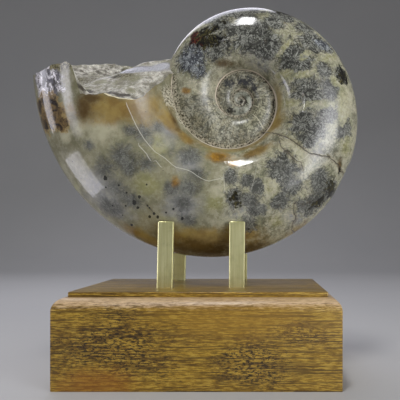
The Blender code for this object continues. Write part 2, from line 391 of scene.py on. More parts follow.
# %% Displace along the surface's own normals
def normals_of(points, quads, triangles):
    """Each face's normal, from the cross product of its diagonals or edges, summed at its points."""
    total = np.zeros_like(points)
    for faces, ends in ((quads, (0, 2, 1, 3)), (triangles, (0, 1, 0, 2))):
        a, b, c, d = (points[faces[:, corner]] for corner in ends)
        for corner in faces.T:
            np.add.at(total, corner, np.cross(b - a, d - c))
    return total / np.maximum(np.linalg.norm(total, axis=1, keepdims=True), 1e-12)


normals = normals_of(points, whorl_faces, hub_faces)
half_way = points[index[ROWS // 2]]
normals *= np.sign(np.sum(normals[index[ROWS // 2]] * (half_way - half_way.mean(axis=0))))
on_shell = (point_share == 0) & (point_turns < 1.02)
degrees = np.degrees(point_angles)
# Places are in turns back and degrees on the section, depths in millimetres.
wander = 0.10 * unevenness(points, 34 * MM, 21) + 0.035 * unevenness(points, 11 * MM, 22)
away_from_lip = smooth_step(0.0, 0.02, point_turns)
nick = np.exp(-(((point_turns - 0.4135) / 0.0060) ** 2) - (((degrees - 158) / 26) ** 2))
flat = smooth_step(0.368, 0.395, point_turns) * smooth_step(0.409, 0.406, point_turns)
flat = flat * np.exp(-(((degrees - 160) / 34) ** 2))
lift = (wander * away_from_lip - NICK_DEEP * nick - FLAT_DEEP * flat) * on_shell * MM
points = points + normals * lift[:, None]
print("nick", round(float(-lift.min() / MM), 2), "mm deep")

# %% [markdown]
# ## Where the colours lie
#
# Polishing has cut into the chambers. The walls between them show as dark mossy rosettes, the calcite
# between is cream and yellow-green, and iron has stained it ochre in places. Here these colours are placed
# as soft ellipses on the front flank: a number per point says how close it is to one, from 1 in its middle
# to 0 at its edge. The finishes fray the edges with noise, so no ellipse shows. The back gets the same
# walls, as on a real shell, but turned a little, and no rust.

# %% Colour places: (x, z, half width, half height in mm, tilt in degrees where there is one)
PLACES = {
    "rosette": (
        (71, 250, 15, 13), (82, 223, 13, 12), (87, 265, 10, 10), (98, 262, 7, 7), (51, 260, 10, 10),
        (32, 266, 11, 10), (24, 274, 7, 6), (66, 287, 11, 7), (71, 193, 4, 4), (78, 198, 9, 9),
        (89, 195, 6, 7), (81, 185, 7, 6), (110, 239, 6, 7), (112, 192, 7, 9), (-12, 252, 11, 11),
        (-5, 242, 6, 6), (8, 257, 7, 6), (2, 274, 8, 6), (16, 282, 4, 3), (-10, 170, 8, 7),
        (-6, 156, 7, 5), (21, 153, 5, 6), (33, 152, 5, 5), (24, 139, 6, 7), (37, 137, 6, 5),
        (63, 161, 12, 11), (69, 149, 9, 7), (78, 134, 6, 6), (88, 135, 10, 8, 35), (101, 147, 7, 10, 30),
        (42, 129, 6, 5), (36, 119, 6, 6), (-8, 145, 8, 8), (-13, 134, 8, 7), (-13, 123, 6, 5),
        (-61, 170, 9, 8), (-74, 160, 9, 8), (-56, 162, 8, 7), (-43, 165, 7, 6), (-43, 187, 9, 7, -25),
        (-35, 193, 5, 5), (-53, 188, 5, 4), (-67, 147, 8, 7), (-23, 144, 7, 5), (-87, 179, 4, 4),
        (12, 263, 9, 8), (44, 274, 9, 8), (94, 240, 7, 7), (100, 226, 7, 8), (98, 205, 7, 8),
        (44, 148, 6, 6), (60, 137, 6, 6), (92, 151, 8, 8), (-76, 134, 11, 8, -30), (-55, 136, 9, 7),
        (34, 284, 10, 6), (12, 280, 8, 5), (30, 292, 16, 7), (60, 292, 10, 6), (5, 287, 8, 5),
        (-15, 213, 7, 10, 10), (-34, 178, 10, 6, -25), (54, 281, 8, 7), (80, 279, 8, 6), (75, 232, 7, 6),
    ),
    "ochre": (
        (-61, 204, 33, 10), (-40, 211, 9, 11), (-29, 203, 5.5, 12, 25), (-13, 184, 8, 4, -40),
        (9, 172, 8, 4), (57, 201, 10, 6.5), (43, 176, 11, 4, 20), (77, 113, 13, 6, 20),
        (-50, 109, 22, 4.5, -27), (-4, 106, 36, 8, -4), (28, 108, 20, 7),
    ),
    # Of these places the first five are real stains; the last three, along the bottom edge, are painted
    # shade.
    "brown_stain_and_shade": (
        (-89, 206, 6, 8.4), (-85, 212, 5.3, 3), (-26, 204, 1.6, 11, 25), (109, 167, 2.6, 4),
        (15, 249, 9, 2.6), (0, 98, 34, 6.5, -2), (38, 99, 14, 4, 10), (-30, 105, 10, 3, -20),
    ),
    "rust": ((13, 171, 8, 5), (24, 167, 6, 2.6), (-16, 226, 3.2, 2.4), (-22, 151, 3, 3.4)),
    "lemon": (
        (64, 258, 11, 2.4, 50), (63, 237, 8, 3.2, 20), (79, 238, 12, 3.2, 18), (101, 252, 10, 3.4, 30),
        (104, 231, 5, 3, -60), (78, 250, 3, 7, -50), (67, 214, 8, 3.2), (91, 212, 11, 3.2),
        (111, 215, 4, 19), (112, 180, 5, 8), (-39, 146, 10, 8.4), (-33, 181, 6, 9, -20), (9, 134, 8.5, 7),
        (53, 145, 4.7, 6), (59, 120, 7, 4.8), (-107, 145, 3.3, 15, -40), (30, 177, 24, 3.2),
        (16, 202, 5, 6.5), (2, 205, 5, 4),
    ),
    # Grey veils of painted reflection: the sheen of the lights on the flank.
    "painted_reflection": (
        (-79, 141, 15, 12, -40), (-69, 129, 12, 7, -30), (-30, 194, 6, 12.5, 20), (-10, 165, 9, 8.5),
        (-14, 131, 12, 11), (31, 129, 11, 8), (76, 125, 11, 6.4), (89, 188, 6, 24), (46, 250, 10, 8),
    ),
    "cream": (
        (60, 150, 8, 7), (84, 168, 6, 8), (54, 171, 9, 8), (66, 179, 8, 7), (45, 209, 8, 12),
        (36, 197, 9, 6), (-76, 189, 15, 9), (-95, 192, 6, 6), (40, 141, 8, 6), (25, 144, 15, 4.6),
        (-4, 263, 5, 5), (7, 263, 5, 3.2), (73, 174, 5.5, 7), (112, 210, 3.2, 16), (-107, 188, 6, 4.7),
        (53, 171, 10, 7), (67, 182, 6, 5),
    ),
    # Dark ore marks and mottle, except the two tilted places at the lower right edge, (91, 136) and (103,
    # 147), which are painted shade.
    "black_and_shade": (
        (6, 266, 8, 6), (-2, 265, 6, 5), (-1, 272, 7.3, 5.7), (7, 275, 4, 4), (16, 282, 3.2, 2.4),
        (111, 238, 5, 7.3), (23, 138, 3, 4), (28, 135, 3, 2.7), (91, 136, 7.3, 3.2, 30),
        (103, 147, 5, 8.5, 30), (64, 293, 8.3, 2.5, 10), (109, 162, 1.6, 3.2), (30, 219, 4, 3),
        (20, 213, 3, 2),
    ),
    "red": ((-8, 269, 5, 6), (-2, 265, 4, 4)),
    "blue": (
        (-12, 252, 10, 9), (-6, 243, 5.6, 4.8), (96, 263, 7.3, 5), (18, 235, 6, 3, -10),
        (32, 236, 7, 3.4), (39, 231, 3, 3),
    ),
    "nacre": ((-127, 236, 15, 13), (-117, 229, 10, 15, 20), (-126, 222, 9, 9)),
    "burnt": (
        (-118, 206, 12, 13, 15), (-129, 203, 7, 12, 15), (-132, 211, 5, 7), (-126, 215, 7, 7),
        (-112, 196, 8, 7), (-112, 243, 5, 3),
    ),
    "grit": ((-29, 220, 7, 9, 20), (-19, 205, 4, 9, 30)),
}
PLACES_ON_THE_BREAK = {
    "hump": ((-107, 243, 11, 7), (-70, 240, 14, 3, -4)),
    "sheet": ((-57, 245, 26, 3, 3), (-38, 248, 9, 4, 20)),
    # Painted shade: thin dark slivers under the front edge of the break.
    "overhang_shade": ((-93, 222, 8, 2.6), (-74, 238.5, 6, 1.4), (-74, 219, 7, 2.2, -6), (-60, 217, 5, 1.8)),
}

# %% Lines: (strength, then the (x, z) of each bend in mm)
LINES = {
    "dark_line": (
        (1, (45.5, 194.1), (56.5, 190.5), (64.7, 186.2), (71.1, 182.7), (78.9, 176.1), (83.7, 173.2),
         (91.1, 172.3), (99.3, 171.6), (103.9, 168.5), (108.4, 165.5), (112.6, 160.6)),
        (0.8, (59.5, 183.1), (60.7, 178.1), (67.1, 173.1), (68.8, 170), (76.6, 165.9), (77.6, 161.8)),
        (0.9, (71.8, 134.4), (70.8, 128), (73.7, 123.5), (70.4, 119.3), (70, 114), (72.5, 111.5)),
        (0.7, (-43.7, 133), (-41, 129.7), (-38.6, 127.2)),
    ),
    "pale_line": (
        (1, (-56.8, 208.4), (-52.8, 198.6), (-48, 188.9), (-43.7, 182.1), (-36.4, 173.4), (-28.8, 168.6),
         (-21.3, 161.9), (-10, 159.2), (-1.6, 153.5), (3.7, 150.9), (15.2, 153.5)),
        (0.6, (72.9, 178), (70.6, 170.7), (74.5, 167.1), (79.3, 169.6), (82.4, 172.7)),
        (0.6, (16.2, 155.5), (17.1, 143.4)),
        (0.5, (41.6, 162.1), (39.8, 153.3), (37.8, 145.4)),
    ),
    "scratch": (
        (1, (-47.9, 177.6), (-42.3, 171.6), (-40.4, 167.4)),
        (0.9, (-34.8, 165.2), (-32, 162.4)),
    ),
}

# %% How close each point is to the nearest ellipse of a colour
# The turn of the pattern on the back, the step between the noises of two rosettes, and the distance
# in mm that counts as far from every line.
BACK_TURN, APART, FAR = math.radians(-16.0), 7.3, 9.0
behind = points[:, 1] - MID_Y
round_axis = BACK_TURN * smooth_step(-6 * MM, 16 * MM, behind)
east, north = points[:, 0] - AXIS_X, points[:, 2] - AXIS_Z
as_front = np.stack([
    AXIS_X + east * np.cos(round_axis) - north * np.sin(round_axis),
    MID_Y - np.abs(behind),
    AXIS_Z + east * np.sin(round_axis) + north * np.cos(round_axis),
], axis=1) / MM
front_points = points[(behind < 0) & (point_share == 0)] / MM


def turned(east, north, wide, high, tilt=0):
    """An offset in the axes of an ellipse, each as a share of its size."""
    cos, sin = math.cos(math.radians(tilt)), math.sin(math.radians(tilt))
    return (east * cos + north * sin) / wide, (north * cos - east * sin) / high


def closeness(spots):
    """For each point the closest ellipse: 1 minus the distance from its middle over its size there,
    at least -1, then its number, then the offset from its middle as shares of its size."""
    best = np.tile((-1.0, 0.0, 0.0, 0.0, 0.0), (len(points), 1))
    for number, (x, z, *shape) in enumerate(spots):
        middle = np.argmin((front_points[:, 0] - x) ** 2 + (front_points[:, 2] - z) ** 2)
        off = as_front - front_points[middle]
        along, up = turned(off[:, 0], off[:, 2], *shape)
        deep = off[:, 1] / max(shape[:2])
        close = 1 - np.sqrt(along**2 + up**2 + deep**2)
        nearer = close > best[:, 0]
        values = np.column_stack([close, np.full(len(close), number), along, deep, up])
        best[nearer] = values[nearer]
    return best


def flat_closeness(spots):
    """The same, but seen straight from the front, for the break."""
    best = np.full(len(points), -1.0)
    for x, z, *shape in spots:
        away = np.hypot(*turned(points[:, 0] / MM - x, points[:, 2] / MM - z, *shape))
        best = np.maximum(best, 1 - away)
    return best


def beside_lines(lines):
    """For each point its signed distance from the nearest line, its plain distance from it, and
    the line's strength, in mm, seen from the front. The strength is 0 on the back."""
    best = np.tile((FAR, FAR, 0.0), (len(points), 1))
    flat = points[:, [0, 2]] / MM
    for strong, *path in lines:
        path = np.array(path, float)
        for start, end in zip(path, path[1:]):
            along = end - start
            share = np.clip((flat - start) @ along / (along @ along), 0, 1)
            away = np.linalg.norm(flat - start - share[:, None] * along, axis=1)
            left = np.sign(along[0] * (flat[:, 1] - start[1]) - along[1] * (flat[:, 0] - start[0]))
            nearer = away < best[:, 1]
            best[nearer] = np.column_stack([away * left, away, np.full(len(away), strong)])[nearer]
    best[:, 2] *= behind < 0
    return best


near = {name: closeness(spots) for name, spots in PLACES.items()}
fields = {name: values[:, 0] for name, values in near.items()}
fields.update({name: flat_closeness(spots) for name, spots in PLACES_ON_THE_BREAK.items()})
fields["which"] = near["rosette"][:, 1] * APART
vectors = {name: beside_lines(lines) for name, lines in LINES.items()}
vectors["fern"] = near["rosette"][:, 2:]
on_back = smooth_step(2 * MM, 12 * MM, behind)
fields["rust"] = fields["rust"] * (1 - on_back) - on_back
fields["share"] = point_share
print("rosettes cover", round(float((fields["rosette"] > 0).mean()) * 100), "% of the points")

# %% [markdown]
# ## Tools for finishes
#
# A finish is a small program of nodes. The class below lets sums of node outputs be written as sums, and
# each helper adds one node: a soft threshold, a mix of two colours, a noise. Colours are given as on a
# screen, 0 to 255, and turned to the linear values of light.


# %% Sums of node outputs
def operator(operation, swapped=False):
    """A method that adds the math node of this operation."""
    def method(self, *other):
        return calc(operation, *other, self) if swapped else calc(operation, self, *other)
    return method


class Value:
    """An output of a node. Each operator adds one math node to the tree that it belongs to."""

    def __init__(self, socket):
        self.socket = socket
        self.tree = socket.id_data

    __add__, __sub__, __mul__ = operator("ADD"), operator("SUBTRACT"), operator("MULTIPLY")
    __truediv__, __abs__ = operator("DIVIDE"), operator("ABSOLUTE")
    __rsub__ = operator("SUBTRACT", swapped=True)


def plug(socket, value):
    """Links a node's output to an input, or sets the input to a plain value."""
    if isinstance(value, Value):
        value.tree.links.new(value.socket, socket)
    else:
        socket.default_value = value


def tree_of(values):
    return next(value.tree for value in values if isinstance(value, Value))


def add_node(tree, kind, inputs=None, **settings):
    """Adds a node with these settings, fills inputs by name or number, and gives its outputs."""
    made = tree.nodes.new(kind)
    for name, value in settings.items():
        setattr(made, name, value)
    for name, value in (inputs or {}).items():
        plug(made.inputs[name], value)
    return made.outputs


def calc(operation, *values):
    made = add_node(tree_of(values), "ShaderNodeMath", dict(enumerate(values)), operation=operation)
    return Value(made[0])


def calc_vector(operation, *values):
    kind, values_in = "ShaderNodeVectorMath", dict(enumerate(values))
    made = add_node(tree_of(values), kind, values_in, operation=operation)
    return Value(made["Value" if operation == "LENGTH" else "Vector"])


# %% Helpers for finishes
def paint(colour):
    """A screen colour as linear light: ((c + 0.055) / 1.055) ** 2.4 for each channel."""
    return (*(((channel / 255 + 0.055) / 1.055) ** 2.4 for channel in colour), 1)


def fade(value, low, high, bottom=0, top=1):
    """A soft threshold: from bottom at low to top at high."""
    ends = {"Value": value, "From Min": low, "From Max": high, "To Min": bottom, "To Max": top}
    return Value(add_node(value.tree, "ShaderNodeMapRange", ends, interpolation_type="SMOOTHSTEP")[0])


def fall(value, low, high, top=1):
    """A soft threshold downwards: from top at low to 0 at high."""
    return fade(value, low, high, top, 0)


def ridge(value, low, full, still, gone):
    """0 up to low, 1 from full to still, and 0 again from gone on."""
    return fade(value, low, full) * fall(value, still, gone)


def between(share, none, whole):
    """The first value where the share is 0, the second where it is 1."""
    return fade(share, 0, 1, none, whole)


def larger(first, second):
    return calc("MAXIMUM", first, second)


def mix(share, first, second):
    """From the first colour to the second by this share. Three numbers are a screen colour."""
    first, second = (paint(c) if isinstance(c, tuple) else c for c in (first, second))
    inputs = {0: share, 6: first, 7: second}
    return Value(add_node(share.tree, "ShaderNodeMix", inputs, data_type="RGBA")[2])


def coats(colour, *layers):
    """Lays coats of colour over a ground in order. Each coat is (mask, colour)."""
    for mask, layer in layers:
        colour = mix(mask, colour, layer)
    return colour


def noise(place, scale, detail=3, roughness=0.55, distortion=0, output="Fac", **more):
    inputs = {"Vector": place, "Scale": scale, "Detail": detail, "Roughness": roughness,
              "Distortion": distortion, **more}
    dimensions = "4D" if "W" in more else "3D"
    return Value(add_node(place.tree, "ShaderNodeTexNoise", inputs, noise_dimensions=dimensions)[output])


def scaled(vector, x, y, z):
    return calc_vector("MULTIPLY", vector, (x, y, z))


def axes(vector):
    """The X, Y and Z of a vector."""
    return map(Value, add_node(vector.tree, "ShaderNodeSeparateXYZ", {"Vector": vector}))


def field(place, name, output="Fac"):
    """Numbers kept at the points of the mesh, read in the tree of this place."""
    return Value(add_node(place.tree, "ShaderNodeAttribute", attribute_name=name)[output])


# %% Groups and materials
def new_group(name, inputs, outputs):
    """A node group with named sockets. The kind of an input follows from its default."""
    tree = bpy.data.node_groups.new(name, "ShaderNodeTree")
    for label, default in inputs.items():
        kind = "NodeSocketVector" if isinstance(default, tuple) else "NodeSocketFloat"
        socket = tree.interface.new_socket(label, in_out="INPUT", socket_type=kind)
        socket.default_value = default
    for label in outputs:
        tree.interface.new_socket(label, in_out="OUTPUT", socket_type="NodeSocketFloat")
    given = tree.nodes.new("NodeGroupInput").outputs
    return tree, [Value(given[label]) for label in inputs], tree.nodes.new("NodeGroupOutput").inputs


def use_group(group, **inputs):
    """Places a group in the tree of its inputs with these values, and gives its outputs."""
    made = tree_of(inputs.values()).nodes.new("ShaderNodeGroup")
    made.node_tree = group
    for name, value in inputs.items():
        plug(made.inputs[name], value)
    return {socket.name: Value(socket) for socket in made.outputs}


def new_material(name, metallic=0, roughness=0.5):
    """A material with one Principled shader; the uniform values go on its own sockets."""
    material = bpy.data.materials.new(name)
    material.use_nodes = True
    shader = material.node_tree.nodes["Principled BSDF"].inputs
    shader["Metallic"].default_value = metallic
    shader["Roughness"].default_value = roughness
    place = Value(add_node(material.node_tree, "ShaderNodeTexCoord")["Object"])
    return material, shader, place


def plug_finish(shader, colour, roughness, height, strength, distance):
    """Gives a shader its colour, its roughness and a bump that follows this height."""
    inputs = {"Strength": strength, "Distance": distance, "Height": height}
    plug(shader["Base Color"], colour)
    plug(shader["Roughness"], roughness)
    plug(shader["Normal"], Value(add_node(height.tree, "ShaderNodeBump", inputs)["Normal"]))


# %% [markdown]
# ## Effects that several finishes share
#
# Five effects come back, so each is a group of nodes made once. A spot says how close a place is to a
# middle. A frayed stain turns such a closeness into a mask with a ragged edge. Moss is the fine branching
# of the chamber walls where it is cut: dark curled hairs about a millimetre apart, where a noise crosses
# its middle value. Rubbed marks are the dull patches that every handled surface has. A fine line is a crack
# or a scratch that wanders a little.

# %% The group for a spot
HERE = (0, 0, 0)
SPOT, (place, centre, size), made = new_group(
    "spot", {"Place": HERE, "Centre": HERE, "Size": (1, 1, 1)}, ["Closeness"])
off = calc_vector("DIVIDE", calc_vector("SUBTRACT", place, centre), size)
plug(made["Closeness"], 1 - calc_vector("LENGTH", off))

# %% The group for a frayed stain
STAIN, (closeness_in, place, scale, fray, soft), made = new_group(
    "frayed stain", {"Closeness": 0, "Place": HERE, "Scale": 70, "Fray": 2, "Soft": 0.3}, ["Mask"])
ragged = closeness_in + (noise(place, scale, 5, 0.65) - 0.5) * fray
plug(made["Mask"], fade(ragged, soft * -1, soft))

# %% The group for moss
MOSS, (place, scale, width), made = new_group(
    "mossy hairs", {"Place": HERE, "Scale": 320, "Width": 0.12}, ["Hairs", "Mottle", "Clouds"])
bent = calc_vector("SUBTRACT", noise(place, 110, 2, 0.5, output="Color"), (0.5, 0.5, 0.5))
bent = calc_vector("ADD", place, scaled(bent, 0.009, 0.009, 0.009))
core = width * 0.35
coarse_hair = fall(abs(noise(bent, scale, 2, 0.6, 0.6) - 0.5), core, width)
fine_hair = fall(abs(noise(bent, scale * 1.9, 1, 0.5, 0.9) - 0.5), core, width)
plug(made["Hairs"], larger(coarse_hair, fine_hair * 0.7))
plug(made["Mottle"], fade(noise(bent, scale * 0.8, 4, 0.7), 0.36, 0.64))
plug(made["Clouds"], fade(noise(bent, 46, 5, 0.62), 0.36, 0.64))

# %% The group for rubbed marks
RUBBED, (place, scale, glossy, dull), made = new_group(
    "rubbed marks", {"Place": HERE, "Scale": 26, "Glossy": 0.1, "Dull": 0.3}, ["Roughness"])
plug(made["Roughness"], fade(noise(place, scale, 5, 0.6), 0.34, 0.72, glossy, dull))

# %% The group for a fine line
LINE, (line, place, width, wander), made = new_group(
    "fine line", {"Line": HERE, "Place": HERE, "Width": 0.4, "Wander": 1}, ["Mask", "Around"])
side, away, strength = axes(line)
side = abs((noise(place, 330, 3, 0.6) - 0.5) * wander + side)
there = fall(away, 1.9, 3) * strength
plug(made["Mask"], fall(side, width * 0.4, width) * there)
plug(made["Around"], fall(side, 0, width * 5) * there)
print("groups:", ", ".join(group.name for group in (SPOT, STAIN, MOSS, RUBBED, LINE)))


# %% Stains, lines and spots by name and place
def frayed(close, place, scale, fray, soft):
    return use_group(STAIN, Closeness=close, Place=place, Scale=scale, Fray=fray, Soft=soft)["Mask"]


def stain(place, name, scale=70, fray=2.4, soft=0.4, strength=1):
    """The frayed mask of a colour that one of the lists places."""
    return frayed(field(place, name), place, scale, fray, soft) * strength


def fine_line(place, name, width, wander):
    return use_group(LINE, Line=field(place, name, "Vector"), Place=place, Width=width, Wander=wander)


def spot(place, x, z, wide, high):
    """How close a place is to the middle of an ellipse seen from the front, all in mm."""
    flat = scaled(place, 1, 0, 1)
    size = (wide * MM, 1, high * MM)
    return use_group(SPOT, Place=flat, Centre=(x * MM, 0, z * MM), Size=size)["Closeness"]


# %% [markdown]
# ## Polished calcite
#
# The colour is laid down much as nature did it, with some painted light: a cream and grey-green ground,
# yellow-green between the walls, grey veils of painted reflection, ochre stains, then the dark rosettes of
# the walls, frayed by fronds that run outwards from their middles, and painted shade along the bottom and
# the lower right edge. In the living chamber, at the left, there are no walls, so the pattern there lies
# deep and blurred. The inner turns were polished less and are stippled. The tip keeps mother-of-pearl. The
# surface is glossy everywhere.

# %% Small black specks of ore: (x, z, radius) in mm on the front flank
SPECKS = (
    (-75.6, 153.3, 1.39), (-64.9, 147.8, 0.93), (-59.1, 142.3, 0.77), (-49, 138.8, 1),
    (-53.4, 134.8, 1.55), (-51, 130.8, 0.94), (-61, 132.3, 0.63), (-72.3, 132.8, 0.71),
    (-76, 146.6, 0.62), (-42.7, 148.2, 0.54), (-97.7, 154.6, 0.5), (-103.4, 167.5, 0.5),
    (-64.9, 125.2, 0.48), (-42.1, 123.8, 1.02), (-38.3, 126.1, 1.01), (-35.5, 123.7, 1.09),
    (-28.7, 126.9, 0.7), (-22.8, 129.5, 0.77), (-16.1, 122.5, 1.09), (35.5, 114.2, 0.79),
    (49.8, 208.7, 0.66), (94.3, 187.3, 0.45), (-43, 132.4, 0.7), (-41.6, 130.4, 0.6),
    (-58.6, 117.4, 1),
)


# %% What the parts of this finish share
def on_the_coil(place):
    """Turns back and section angle come from the coil map. The distance from a seam, in mm, is the
    difference of the angles times the radius of the section there. The chamber and the inner turns
    are shares from 0 to 1."""
    at = SimpleNamespace(place=place)
    at.turn, along, _ = axes(Value(add_node(place.tree, "ShaderNodeUVMap", uv_map="coil")["UV"]))
    at.angle = calc("MINIMUM", along, 1 - along)
    radius = calc("POWER", RADIUS_PER_TURN, at.turn * -1) * (LIP_RADIUS / MM * HALF_HEIGHT * TURN)
    at.above_seam = (at.angle - SEAM / TURN) * radius
    at.below_seam = (MET / TURN - at.angle) * radius
    at.chamber = fall(at.turn, 0.19, 0.27)
    at.inner = fade(at.turn, 0.985, 1)
    at.moss = use_group(MOSS, Place=place, Scale=145, Width=0.055)
    at.broad = noise(place, 60, 3, 0.6) - 0.5
    at.fine = noise(place, 210, 4, 0.75) - 0.5
    at.stipple = noise(place, 620, 3, 0.7)
    at.sandy = mix(fade(at.stipple, 0.46, 0.58), (190, 184, 162), (70, 64, 46))
    at.ochre = mix(at.moss["Clouds"], (116, 91, 42), (144, 122, 64))
    return at


# %% The rosettes of the chamber walls
def rosettes(at):
    """How dense the walls are, where they cover the ground, and how light they are. Fronds are a
    noise of the direction from a rosette's middle, which changes slowly with the distance."""
    fern = field(at.place, "fern", "Vector")
    ray = scaled(calc_vector("NORMALIZE", fern), 3.1, 3.1, 3.1)
    reach = calc_vector("LENGTH", fern) * 1.5 + field(at.place, "which")
    frond = noise(ray, 1, 4, 0.68, W=reach) - 0.5
    density = frond * 1.9 + field(at.place, "rosette") + at.broad * 1.7 + between(at.chamber, 0.10, 0)
    density = density - stain(at.place, "lemon", soft=0.5, strength=0.9)
    density = density + at.fine * between(at.chamber, 1.9, 0.5)
    soft = between(at.chamber, 0.34, 0.7)
    walls = fade(density, soft * -1, soft) * between(at.inner, 0.94, 0.25)

    dark_share = larger(at.moss["Hairs"] * 0.85, fall(abs(frond), 0.01, 0.042))
    light = (at.moss["Mottle"] * 0.45 + 0.55) * (dark_share * -0.95 + 1)
    _, _, height = axes(at.place)
    calm = larger(at.chamber * 0.58, fall(height, 0.14, 0.19, 0.38))
    light = light * (1 - calm) + calm * (at.moss["Clouds"] * 0.3 + 0.22)
    return density, walls, light


# %% The outer turn: ground, stains, painted reflection, walls, ores and painted shade
def outer_turn(at, density, walls, light, blue):
    place, moss = at.place, at.moss
    flecked = between(at.chamber, 1, 0.3)
    hairs_outside = between(at.chamber, 0.62, 0.06) * fade(density, -1, 0.2, 0.3, 1)
    return coats(
        mix(moss["Clouds"], (106, 105, 86), (172, 168, 142)),
        (at.chamber * 0.7, (108, 104, 76)),
        (stain(place, "lemon", soft=0.7, strength=0.6), (144, 142, 90)),
        (stain(place, "cream", soft=0.6, strength=0.9), (172, 168, 140)),
        # Painted reflection: grey veils of the lights' sheen.
        (stain(place, "painted_reflection", soft=0.8, strength=0.85), (134, 135, 138)),
        (ridge(density, -1, -0.45, -0.45, 0.1) * 0.5 * flecked, (160, 160, 128)),
        (fade(at.fine, -0.03, 0.09, 0, 0.75) * flecked, (174, 170, 148)),
        (fall(at.fine, -0.16, -0.03, 0.55) * flecked, (88, 86, 70)),
        (stain(place, "ochre", fray=2.8, soft=0.7, strength=0.9), at.ochre),
        # Real stains, and painted shade along the bottom edge.
        (stain(place, "brown_stain_and_shade", 90, 2.8, 0.75, 0.9), (76, 57, 26)),
        (moss["Hairs"] * hairs_outside, (44, 42, 32)),
        (walls, mix(light, (12, 12, 10), (140, 141, 132))),
        (stain(place, "blue", 260, 4.4, 0.4, 0.8), blue),
        (stain(place, "rust", 130, 2.8, 0.7, 0.8), mix(moss["Mottle"], (100, 68, 14), (170, 122, 28))),
        (stain(place, "red", 160, 3, 0.3), mix(light, (12, 8, 6), (84, 32, 18))),
        # Dark ore marks, and painted shade along the lower right edge.
        (stain(place, "black_and_shade", 380, 4.6, 0.25), mix(moss["Mottle"] * light, (8, 8, 6), (84, 78, 42))),
    )


# %% The inner turns: stippled, with growth lines across them and pale walls at the right
def inner_turns(at, blue):
    place, moss = at.place, at.moss
    across = {"X": at.turn * 46, "Y": at.angle * 9}
    across = Value(add_node(place.tree, "ShaderNodeCombineXYZ", across)["Vector"])
    stripes = noise(across, 1, 3, 0.6)
    wall_line = abs(calc("FRACT", at.turn * 15 + at.broad * 0.5) - 0.5)
    wall_line = fall(wall_line, 0.02, 0.06) * fade(at.turn, 1.24, 1.32) * fall(at.turn, 1.60, 1.70, 0.5)
    return coats(
        mix(moss["Clouds"], (110, 109, 94), (176, 174, 154)),
        (fade(stripes, 0.40, 0.66, 0, 0.45), (150, 140, 104)),
        (stain(place, "cream", soft=0.6, strength=0.7), (164, 162, 134)),
        (fade(at.stipple, 0.50, 0.60, 0, 0.45), (52, 50, 38)),
        (moss["Hairs"] * 0.6, (30, 30, 22)),
        (fade(at.turn, 2, 2.35, 0, 0.8), mix(moss["Mottle"], (56, 58, 48), (172, 174, 156))),
        (wall_line * moss["Mottle"], (226, 220, 190)),
        (stain(place, "blue", 420, 4.6, 0.5, 0.8), blue),
        (stain(place, "black_and_shade", 380, 4.6, 0.25, 0.9), (34, 32, 26)),
    )


# %% Beside the seams: a pale lip outside, a stippled band and a broken dark groove inside, and painted shade in the crease
def beside_seams(at, colour):
    """The lip is wider and has an ochre tint within it on the first half turn. The groove is only
    on the turns inside. Gives the colour, the band and the groove."""
    wide = fade(at.turn, 1.02, 1.35, 5.2, 2)
    band = fall(at.below_seam / wide, 0.75, 1.05) * fade(at.turn, 0.93, 0.96)
    ringed = ridge(at.turn, 0.08, 0.20, 0.50, 0.58)
    tinted = ridge(at.above_seam, 5, 7, 10, 17) * (ringed * 0.7)
    not_centre = fade(at.turn, 1.6, 1.85, 1, 0.15)
    lip = ridge(at.above_seam / (ringed * 1.1 + 1), 0.4, 0.9, 1.8, 3) * not_centre
    lip = lip * larger(ringed, fade(at.moss["Clouds"], 0.2, 0.8, 0.55, 1))
    groove = ridge(at.below_seam, 0.6, 1.3, 2.2, 3.4) * fade(at.turn, 1.38, 1.48) * not_centre
    groove = groove * fade(noise(at.place, 130), 0.44, 0.56)
    # Painted shade: a dark line in the crease of the seam, weaker towards the middle of the coil.
    crease_shade = fall(at.above_seam, 0.2, 0.7, 0.7) * fade(at.turn, 1.7, 2.2, 1, 0.2)
    colour = coats(
        colour,
        (band * 0.85, at.sandy),
        (tinted, at.ochre),
        (lip, (222, 208, 188)),
        (groove * 0.9, (28, 26, 20)),
        (crease_shade, (60, 50, 36)),
    )
    return colour, band, groove


# %% The tip and the gritty patch
def tip(at, colour):
    """Mother-of-pearl with veins, a stained rim with a golden rind, and grit beside the seam."""
    place = at.place
    pearl = noise(place, 85, 5, 0.6, 1.2)
    vein = use_group(MOSS, Place=place, Scale=150, Width=0.045)["Hairs"]
    pearly = mix(fade(pearl, 0.42, 0.56), (104, 102, 110), (244, 240, 244))
    burnt = mix(fade(pearl, 0.38, 0.62), (44, 36, 30), (128, 106, 68))
    burn = stain(place, "burnt", 120, 2.4, 0.25)
    olive = mix(fade(at.stipple, 0.42, 0.60), (70, 66, 44), (146, 140, 108))
    return coats(
        colour,
        (stain(place, "nacre", 80, 2, 0.3, 0.95), mix(vein * 0.8, pearly, (52, 48, 42))),
        (burn, mix(fade(at.stipple, 0.52, 0.62, 0, 0.7), burnt, (46, 36, 34))),
        (ridge(burn, 0.02, 0.25, 0.5, 0.9) * 0.4, (176, 146, 82)),
        (stain(place, "grit", 150, 2, 0.4, 0.85), at.sandy),
        (stain(place, "hump", 120, 2.4, 0.35), olive),
    )


